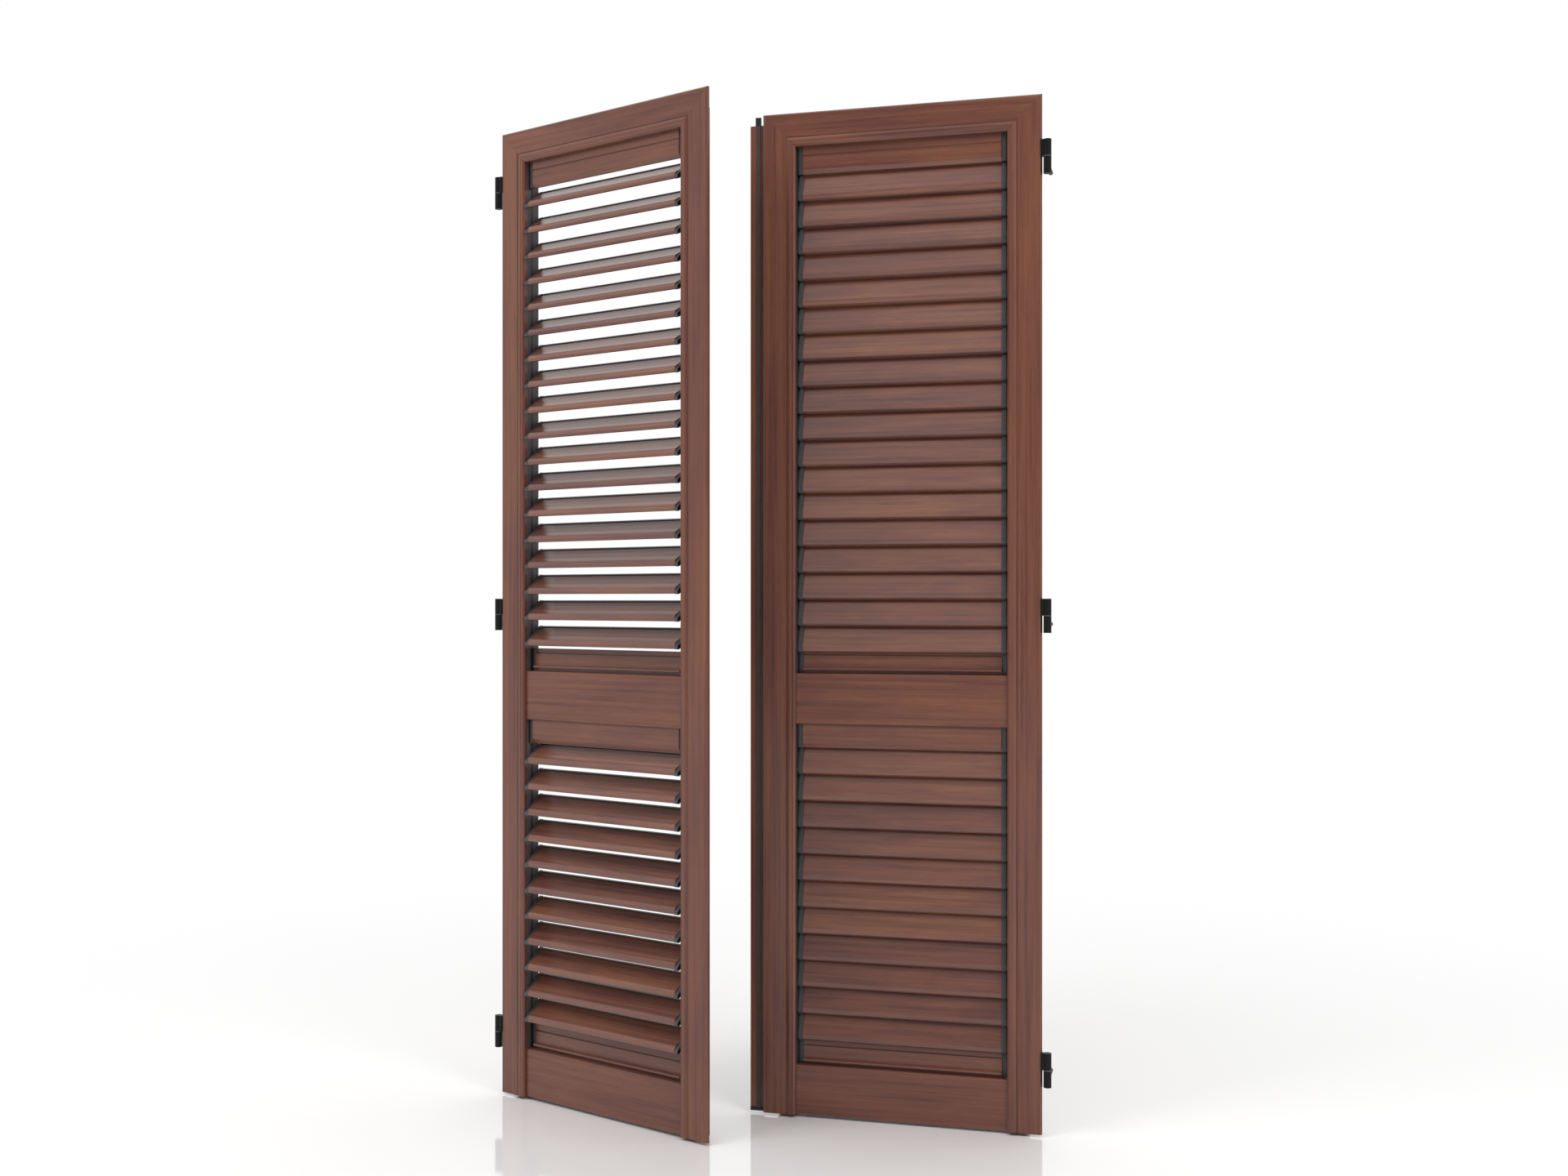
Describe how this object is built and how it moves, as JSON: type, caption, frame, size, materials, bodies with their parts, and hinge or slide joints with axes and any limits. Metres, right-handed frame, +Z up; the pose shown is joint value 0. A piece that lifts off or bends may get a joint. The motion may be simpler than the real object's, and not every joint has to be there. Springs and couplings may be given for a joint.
{
  "type": "louvred shutters",
  "caption": "Hinged louvred shutters with moulded wood-effect frames, tilting slats worked by hidden rods, an overlapping astragal, an espagnolette lock and wall pintles.",
  "frame": {"origin": "middle of the rectangle of the outer wall studs, on the wall's face", "axes": "+X to the right along the wall, -Y out of the wall towards the viewer, +Z up"},
  "size_m": [1.284, 0.3062, 2.22],
  "materials": {
    "frame_wood_effect": "satin wood-effect coating",
    "slat_wood_effect": "satin wood-effect coating",
    "filler_wood_effect": "satin wood-effect coating",
    "carrier_plastic": "dark grey plastic",
    "end_plastic": "black plastic",
    "gasket_rubber": "black soft seal",
    "cleat_metal": "cast, bare",
    "hinge_black": "black powder coat",
    "lock_black": "black powder coat"
  },
  "bodies": {
    "wall_pintles": {"wall_pintles": "hinge_black"},
    "left_leaf": {"espagnolette_guides": "lock_black", "left_bottom_rail": "frame_wood_effect", "left_corner_cleats": "cleat_metal", "left_filler_strips": "filler_wood_effect", "left_hinge_knuckles": "hinge_black", "left_hinge_side_carrier": "carrier_plastic", "left_hinge_stile": "frame_wood_effect", "left_meeting_side_carrier": "carrier_plastic", "left_meeting_stile": "frame_wood_effect", "left_mid_rail": "frame_wood_effect", "left_top_rail": "frame_wood_effect"},
    "right_leaf": {"right_astragal": "frame_wood_effect", "right_astragal_end_blocks": "end_plastic", "right_astragal_gasket": "gasket_rubber", "right_bottom_rail": "frame_wood_effect", "right_corner_cleats": "cleat_metal", "right_filler_strips": "filler_wood_effect", "right_hinge_knuckles": "hinge_black", "right_hinge_stile": "frame_wood_effect", "right_lower_slats": "slat_wood_effect", "right_meeting_stile": "frame_wood_effect", "right_mid_rail": "frame_wood_effect", "right_top_rail": "frame_wood_effect", "right_upper_slats": "slat_wood_effect"},
    "espagnolette_handle": {"espagnolette_handle": "lock_black"},
    "espagnolette_rod": {"espagnolette_rod": "lock_black"},
    "left_lower_slat_01": {"left_lower_slat_01": "slat_wood_effect"},
    "left_lower_slat_02": {"left_lower_slat_02": "slat_wood_effect"},
    "left_lower_slat_03": {"left_lower_slat_03": "slat_wood_effect"},
    "left_lower_slat_04": {"left_lower_slat_04": "slat_wood_effect"},
    "left_lower_slat_05": {"left_lower_slat_05": "slat_wood_effect"},
    "left_lower_slat_06": {"left_lower_slat_06": "slat_wood_effect"},
    "left_lower_slat_07": {"left_lower_slat_07": "slat_wood_effect"},
    "left_lower_slat_08": {"left_lower_slat_08": "slat_wood_effect"},
    "left_lower_slat_09": {"left_lower_slat_09": "slat_wood_effect"},
    "left_lower_slat_10": {"left_lower_slat_10": "slat_wood_effect"},
    "left_lower_slat_11": {"left_lower_slat_11": "slat_wood_effect"},
    "left_lower_tilt_rod": {"left_lower_tilt_rod": "carrier_plastic"},
    "left_upper_slat_01": {"left_upper_slat_01": "slat_wood_effect"},
    "left_upper_slat_02": {"left_upper_slat_02": "slat_wood_effect"},
    "left_upper_slat_03": {"left_upper_slat_03": "slat_wood_effect"},
    "left_upper_slat_04": {"left_upper_slat_04": "slat_wood_effect"},
    "left_upper_slat_05": {"left_upper_slat_05": "slat_wood_effect"},
    "left_upper_slat_06": {"left_upper_slat_06": "slat_wood_effect"},
    "left_upper_slat_07": {"left_upper_slat_07": "slat_wood_effect"},
    "left_upper_slat_08": {"left_upper_slat_08": "slat_wood_effect"},
    "left_upper_slat_09": {"left_upper_slat_09": "slat_wood_effect"},
    "left_upper_slat_10": {"left_upper_slat_10": "slat_wood_effect"},
    "left_upper_slat_11": {"left_upper_slat_11": "slat_wood_effect"},
    "left_upper_slat_12": {"left_upper_slat_12": "slat_wood_effect"},
    "left_upper_slat_13": {"left_upper_slat_13": "slat_wood_effect"},
    "left_upper_slat_14": {"left_upper_slat_14": "slat_wood_effect"},
    "left_upper_slat_15": {"left_upper_slat_15": "slat_wood_effect"},
    "left_upper_slat_16": {"left_upper_slat_16": "slat_wood_effect"},
    "left_upper_slat_17": {"left_upper_slat_17": "slat_wood_effect"},
    "left_upper_slat_18": {"left_upper_slat_18": "slat_wood_effect"},
    "left_upper_tilt_rod": {"left_upper_tilt_rod": "carrier_plastic"}
  },
  "joints": [
    {"name": "left_leaf_hinge", "type": "hinge", "parent": "wall_pintles", "child": "left_leaf", "pos_m": [-0.6335, -0.01, 0], "axis": [0, 0, -1], "range_deg": [-22, 153]},
    {"name": "right_leaf_hinge", "type": "hinge", "parent": "wall_pintles", "child": "right_leaf", "pos_m": [0.6335, -0.01, 0], "axis": [0, 0, 1], "range_deg": [0, 175]},
    {"name": "left_upper_slat_01_tilt", "type": "hinge", "parent": "left_leaf", "child": "left_upper_slat_01", "pos_m": [-0.32819, -0.10855, 0.966], "axis": [0.9272, -0.3746, 0], "range_deg": [-30, 41]},
    {"name": "left_upper_slat_02_tilt", "type": "hinge", "parent": "left_leaf", "child": "left_upper_slat_02", "pos_m": [-0.32819, -0.10855, 0.907], "axis": [0.9272, -0.3746, 0], "range_deg": [-30, 41]},
    {"name": "left_upper_slat_03_tilt", "type": "hinge", "parent": "left_leaf", "child": "left_upper_slat_03", "pos_m": [-0.32819, -0.10855, 0.848], "axis": [0.9272, -0.3746, 0], "range_deg": [-30, 41]},
    {"name": "left_upper_slat_04_tilt", "type": "hinge", "parent": "left_leaf", "child": "left_upper_slat_04", "pos_m": [-0.32819, -0.10855, 0.789], "axis": [0.9272, -0.3746, 0], "range_deg": [-30, 41]},
    {"name": "left_upper_slat_05_tilt", "type": "hinge", "parent": "left_leaf", "child": "left_upper_slat_05", "pos_m": [-0.32819, -0.10855, 0.73], "axis": [0.9272, -0.3746, 0], "range_deg": [-30, 41]},
    {"name": "left_upper_slat_06_tilt", "type": "hinge", "parent": "left_leaf", "child": "left_upper_slat_06", "pos_m": [-0.32819, -0.10855, 0.671], "axis": [0.9272, -0.3746, 0], "range_deg": [-30, 41]},
    {"name": "left_upper_slat_07_tilt", "type": "hinge", "parent": "left_leaf", "child": "left_upper_slat_07", "pos_m": [-0.32819, -0.10855, 0.612], "axis": [0.9272, -0.3746, 0], "range_deg": [-30, 41]},
    {"name": "left_upper_slat_08_tilt", "type": "hinge", "parent": "left_leaf", "child": "left_upper_slat_08", "pos_m": [-0.32819, -0.10855, 0.553], "axis": [0.9272, -0.3746, 0], "range_deg": [-30, 41]},
    {"name": "left_upper_slat_09_tilt", "type": "hinge", "parent": "left_leaf", "child": "left_upper_slat_09", "pos_m": [-0.32819, -0.10855, 0.494], "axis": [0.9272, -0.3746, 0], "range_deg": [-30, 41]},
    {"name": "left_upper_slat_10_tilt", "type": "hinge", "parent": "left_leaf", "child": "left_upper_slat_10", "pos_m": [-0.32819, -0.10855, 0.435], "axis": [0.9272, -0.3746, 0], "range_deg": [-30, 41]},
    {"name": "left_upper_slat_11_tilt", "type": "hinge", "parent": "left_leaf", "child": "left_upper_slat_11", "pos_m": [-0.32819, -0.10855, 0.376], "axis": [0.9272, -0.3746, 0], "range_deg": [-30, 41]},
    {"name": "left_upper_slat_12_tilt", "type": "hinge", "parent": "left_leaf", "child": "left_upper_slat_12", "pos_m": [-0.32819, -0.10855, 0.317], "axis": [0.9272, -0.3746, 0], "range_deg": [-30, 41]},
    {"name": "left_upper_slat_13_tilt", "type": "hinge", "parent": "left_leaf", "child": "left_upper_slat_13", "pos_m": [-0.32819, -0.10855, 0.258], "axis": [0.9272, -0.3746, 0], "range_deg": [-30, 41]},
    {"name": "left_upper_slat_14_tilt", "type": "hinge", "parent": "left_leaf", "child": "left_upper_slat_14", "pos_m": [-0.32819, -0.10855, 0.199], "axis": [0.9272, -0.3746, 0], "range_deg": [-30, 41]},
    {"name": "left_upper_slat_15_tilt", "type": "hinge", "parent": "left_leaf", "child": "left_upper_slat_15", "pos_m": [-0.32819, -0.10855, 0.14], "axis": [0.9272, -0.3746, 0], "range_deg": [-30, 41]},
    {"name": "left_upper_slat_16_tilt", "type": "hinge", "parent": "left_leaf", "child": "left_upper_slat_16", "pos_m": [-0.32819, -0.10855, 0.081], "axis": [0.9272, -0.3746, 0], "range_deg": [-30, 41]},
    {"name": "left_upper_slat_17_tilt", "type": "hinge", "parent": "left_leaf", "child": "left_upper_slat_17", "pos_m": [-0.32819, -0.10855, 0.022], "axis": [0.9272, -0.3746, 0], "range_deg": [-30, 41]},
    {"name": "left_upper_slat_18_tilt", "type": "hinge", "parent": "left_leaf", "child": "left_upper_slat_18", "pos_m": [-0.32819, -0.10855, -0.037], "axis": [0.9272, -0.3746, 0], "range_deg": [-30, 41]},
    {"name": "left_upper_tilt_rod_swing", "type": "hinge", "parent": "left_upper_slat_01", "child": "left_upper_tilt_rod", "pos_m": [-0.10684, -0.18402, 0.96475], "axis": [0.9272, -0.3746, 0], "range_deg": [-41, 30]},
    {"name": "left_lower_slat_01_tilt", "type": "hinge", "parent": "left_leaf", "child": "left_lower_slat_01", "pos_m": [-0.32819, -0.10855, -0.307], "axis": [0.9272, -0.3746, 0], "range_deg": [-30, 41]},
    {"name": "left_lower_slat_02_tilt", "type": "hinge", "parent": "left_leaf", "child": "left_lower_slat_02", "pos_m": [-0.32819, -0.10855, -0.3661], "axis": [0.9272, -0.3746, 0], "range_deg": [-30, 41]},
    {"name": "left_lower_slat_03_tilt", "type": "hinge", "parent": "left_leaf", "child": "left_lower_slat_03", "pos_m": [-0.32819, -0.10855, -0.4252], "axis": [0.9272, -0.3746, 0], "range_deg": [-30, 41]},
    {"name": "left_lower_slat_04_tilt", "type": "hinge", "parent": "left_leaf", "child": "left_lower_slat_04", "pos_m": [-0.32819, -0.10855, -0.4843], "axis": [0.9272, -0.3746, 0], "range_deg": [-30, 41]},
    {"name": "left_lower_slat_05_tilt", "type": "hinge", "parent": "left_leaf", "child": "left_lower_slat_05", "pos_m": [-0.32819, -0.10855, -0.5434], "axis": [0.9272, -0.3746, 0], "range_deg": [-30, 41]},
    {"name": "left_lower_slat_06_tilt", "type": "hinge", "parent": "left_leaf", "child": "left_lower_slat_06", "pos_m": [-0.32819, -0.10855, -0.6025], "axis": [0.9272, -0.3746, 0], "range_deg": [-30, 41]},
    {"name": "left_lower_slat_07_tilt", "type": "hinge", "parent": "left_leaf", "child": "left_lower_slat_07", "pos_m": [-0.32819, -0.10855, -0.6616], "axis": [0.9272, -0.3746, 0], "range_deg": [-30, 41]},
    {"name": "left_lower_slat_08_tilt", "type": "hinge", "parent": "left_leaf", "child": "left_lower_slat_08", "pos_m": [-0.32819, -0.10855, -0.7207], "axis": [0.9272, -0.3746, 0], "range_deg": [-30, 41]},
    {"name": "left_lower_slat_09_tilt", "type": "hinge", "parent": "left_leaf", "child": "left_lower_slat_09", "pos_m": [-0.32819, -0.10855, -0.7798], "axis": [0.9272, -0.3746, 0], "range_deg": [-30, 41]},
    {"name": "left_lower_slat_10_tilt", "type": "hinge", "parent": "left_leaf", "child": "left_lower_slat_10", "pos_m": [-0.32819, -0.10855, -0.8389], "axis": [0.9272, -0.3746, 0], "range_deg": [-30, 41]},
    {"name": "left_lower_slat_11_tilt", "type": "hinge", "parent": "left_leaf", "child": "left_lower_slat_11", "pos_m": [-0.32819, -0.10855, -0.898], "axis": [0.9272, -0.3746, 0], "range_deg": [-30, 41]},
    {"name": "left_lower_tilt_rod_swing", "type": "hinge", "parent": "left_lower_slat_01", "child": "left_lower_tilt_rod", "pos_m": [-0.10684, -0.18402, -0.30825], "axis": [0.9272, -0.3746, 0], "range_deg": [-41, 30]},
    {"name": "espagnolette_turn", "type": "hinge", "parent": "left_leaf", "child": "espagnolette_rod", "pos_m": [-0.08357, -0.17448, -0.139], "axis": [0, 0, -1], "range_deg": [0, 90]},
    {"name": "espagnolette_lift", "type": "hinge", "parent": "espagnolette_rod", "child": "espagnolette_handle", "pos_m": [-0.0947, -0.16999, -0.139], "axis": [0.3746, 0.9272, 0], "range_deg": [0, 90]}
  ],
  "couplings": [
    {"joint": "left_upper_slat_02_tilt", "follows": "left_upper_slat_01_tilt", "ratio": 1},
    {"joint": "left_upper_slat_03_tilt", "follows": "left_upper_slat_01_tilt", "ratio": 1},
    {"joint": "left_upper_slat_04_tilt", "follows": "left_upper_slat_01_tilt", "ratio": 1},
    {"joint": "left_upper_slat_05_tilt", "follows": "left_upper_slat_01_tilt", "ratio": 1},
    {"joint": "left_upper_slat_06_tilt", "follows": "left_upper_slat_01_tilt", "ratio": 1},
    {"joint": "left_upper_slat_07_tilt", "follows": "left_upper_slat_01_tilt", "ratio": 1},
    {"joint": "left_upper_slat_08_tilt", "follows": "left_upper_slat_01_tilt", "ratio": 1},
    {"joint": "left_upper_slat_09_tilt", "follows": "left_upper_slat_01_tilt", "ratio": 1},
    {"joint": "left_upper_slat_10_tilt", "follows": "left_upper_slat_01_tilt", "ratio": 1},
    {"joint": "left_upper_slat_11_tilt", "follows": "left_upper_slat_01_tilt", "ratio": 1},
    {"joint": "left_upper_slat_12_tilt", "follows": "left_upper_slat_01_tilt", "ratio": 1},
    {"joint": "left_upper_slat_13_tilt", "follows": "left_upper_slat_01_tilt", "ratio": 1},
    {"joint": "left_upper_slat_14_tilt", "follows": "left_upper_slat_01_tilt", "ratio": 1},
    {"joint": "left_upper_slat_15_tilt", "follows": "left_upper_slat_01_tilt", "ratio": 1},
    {"joint": "left_upper_slat_16_tilt", "follows": "left_upper_slat_01_tilt", "ratio": 1},
    {"joint": "left_upper_slat_17_tilt", "follows": "left_upper_slat_01_tilt", "ratio": 1},
    {"joint": "left_upper_slat_18_tilt", "follows": "left_upper_slat_01_tilt", "ratio": 1},
    {"joint": "left_upper_tilt_rod_swing", "follows": "left_upper_slat_01_tilt", "ratio": -1},
    {"joint": "left_lower_slat_02_tilt", "follows": "left_lower_slat_01_tilt", "ratio": 1},
    {"joint": "left_lower_slat_03_tilt", "follows": "left_lower_slat_01_tilt", "ratio": 1},
    {"joint": "left_lower_slat_04_tilt", "follows": "left_lower_slat_01_tilt", "ratio": 1},
    {"joint": "left_lower_slat_05_tilt", "follows": "left_lower_slat_01_tilt", "ratio": 1},
    {"joint": "left_lower_slat_06_tilt", "follows": "left_lower_slat_01_tilt", "ratio": 1},
    {"joint": "left_lower_slat_07_tilt", "follows": "left_lower_slat_01_tilt", "ratio": 1},
    {"joint": "left_lower_slat_08_tilt", "follows": "left_lower_slat_01_tilt", "ratio": 1},
    {"joint": "left_lower_slat_09_tilt", "follows": "left_lower_slat_01_tilt", "ratio": 1},
    {"joint": "left_lower_slat_10_tilt", "follows": "left_lower_slat_01_tilt", "ratio": 1},
    {"joint": "left_lower_slat_11_tilt", "follows": "left_lower_slat_01_tilt", "ratio": 1},
    {"joint": "left_lower_tilt_rod_swing", "follows": "left_lower_slat_01_tilt", "ratio": -1}
  ]
}
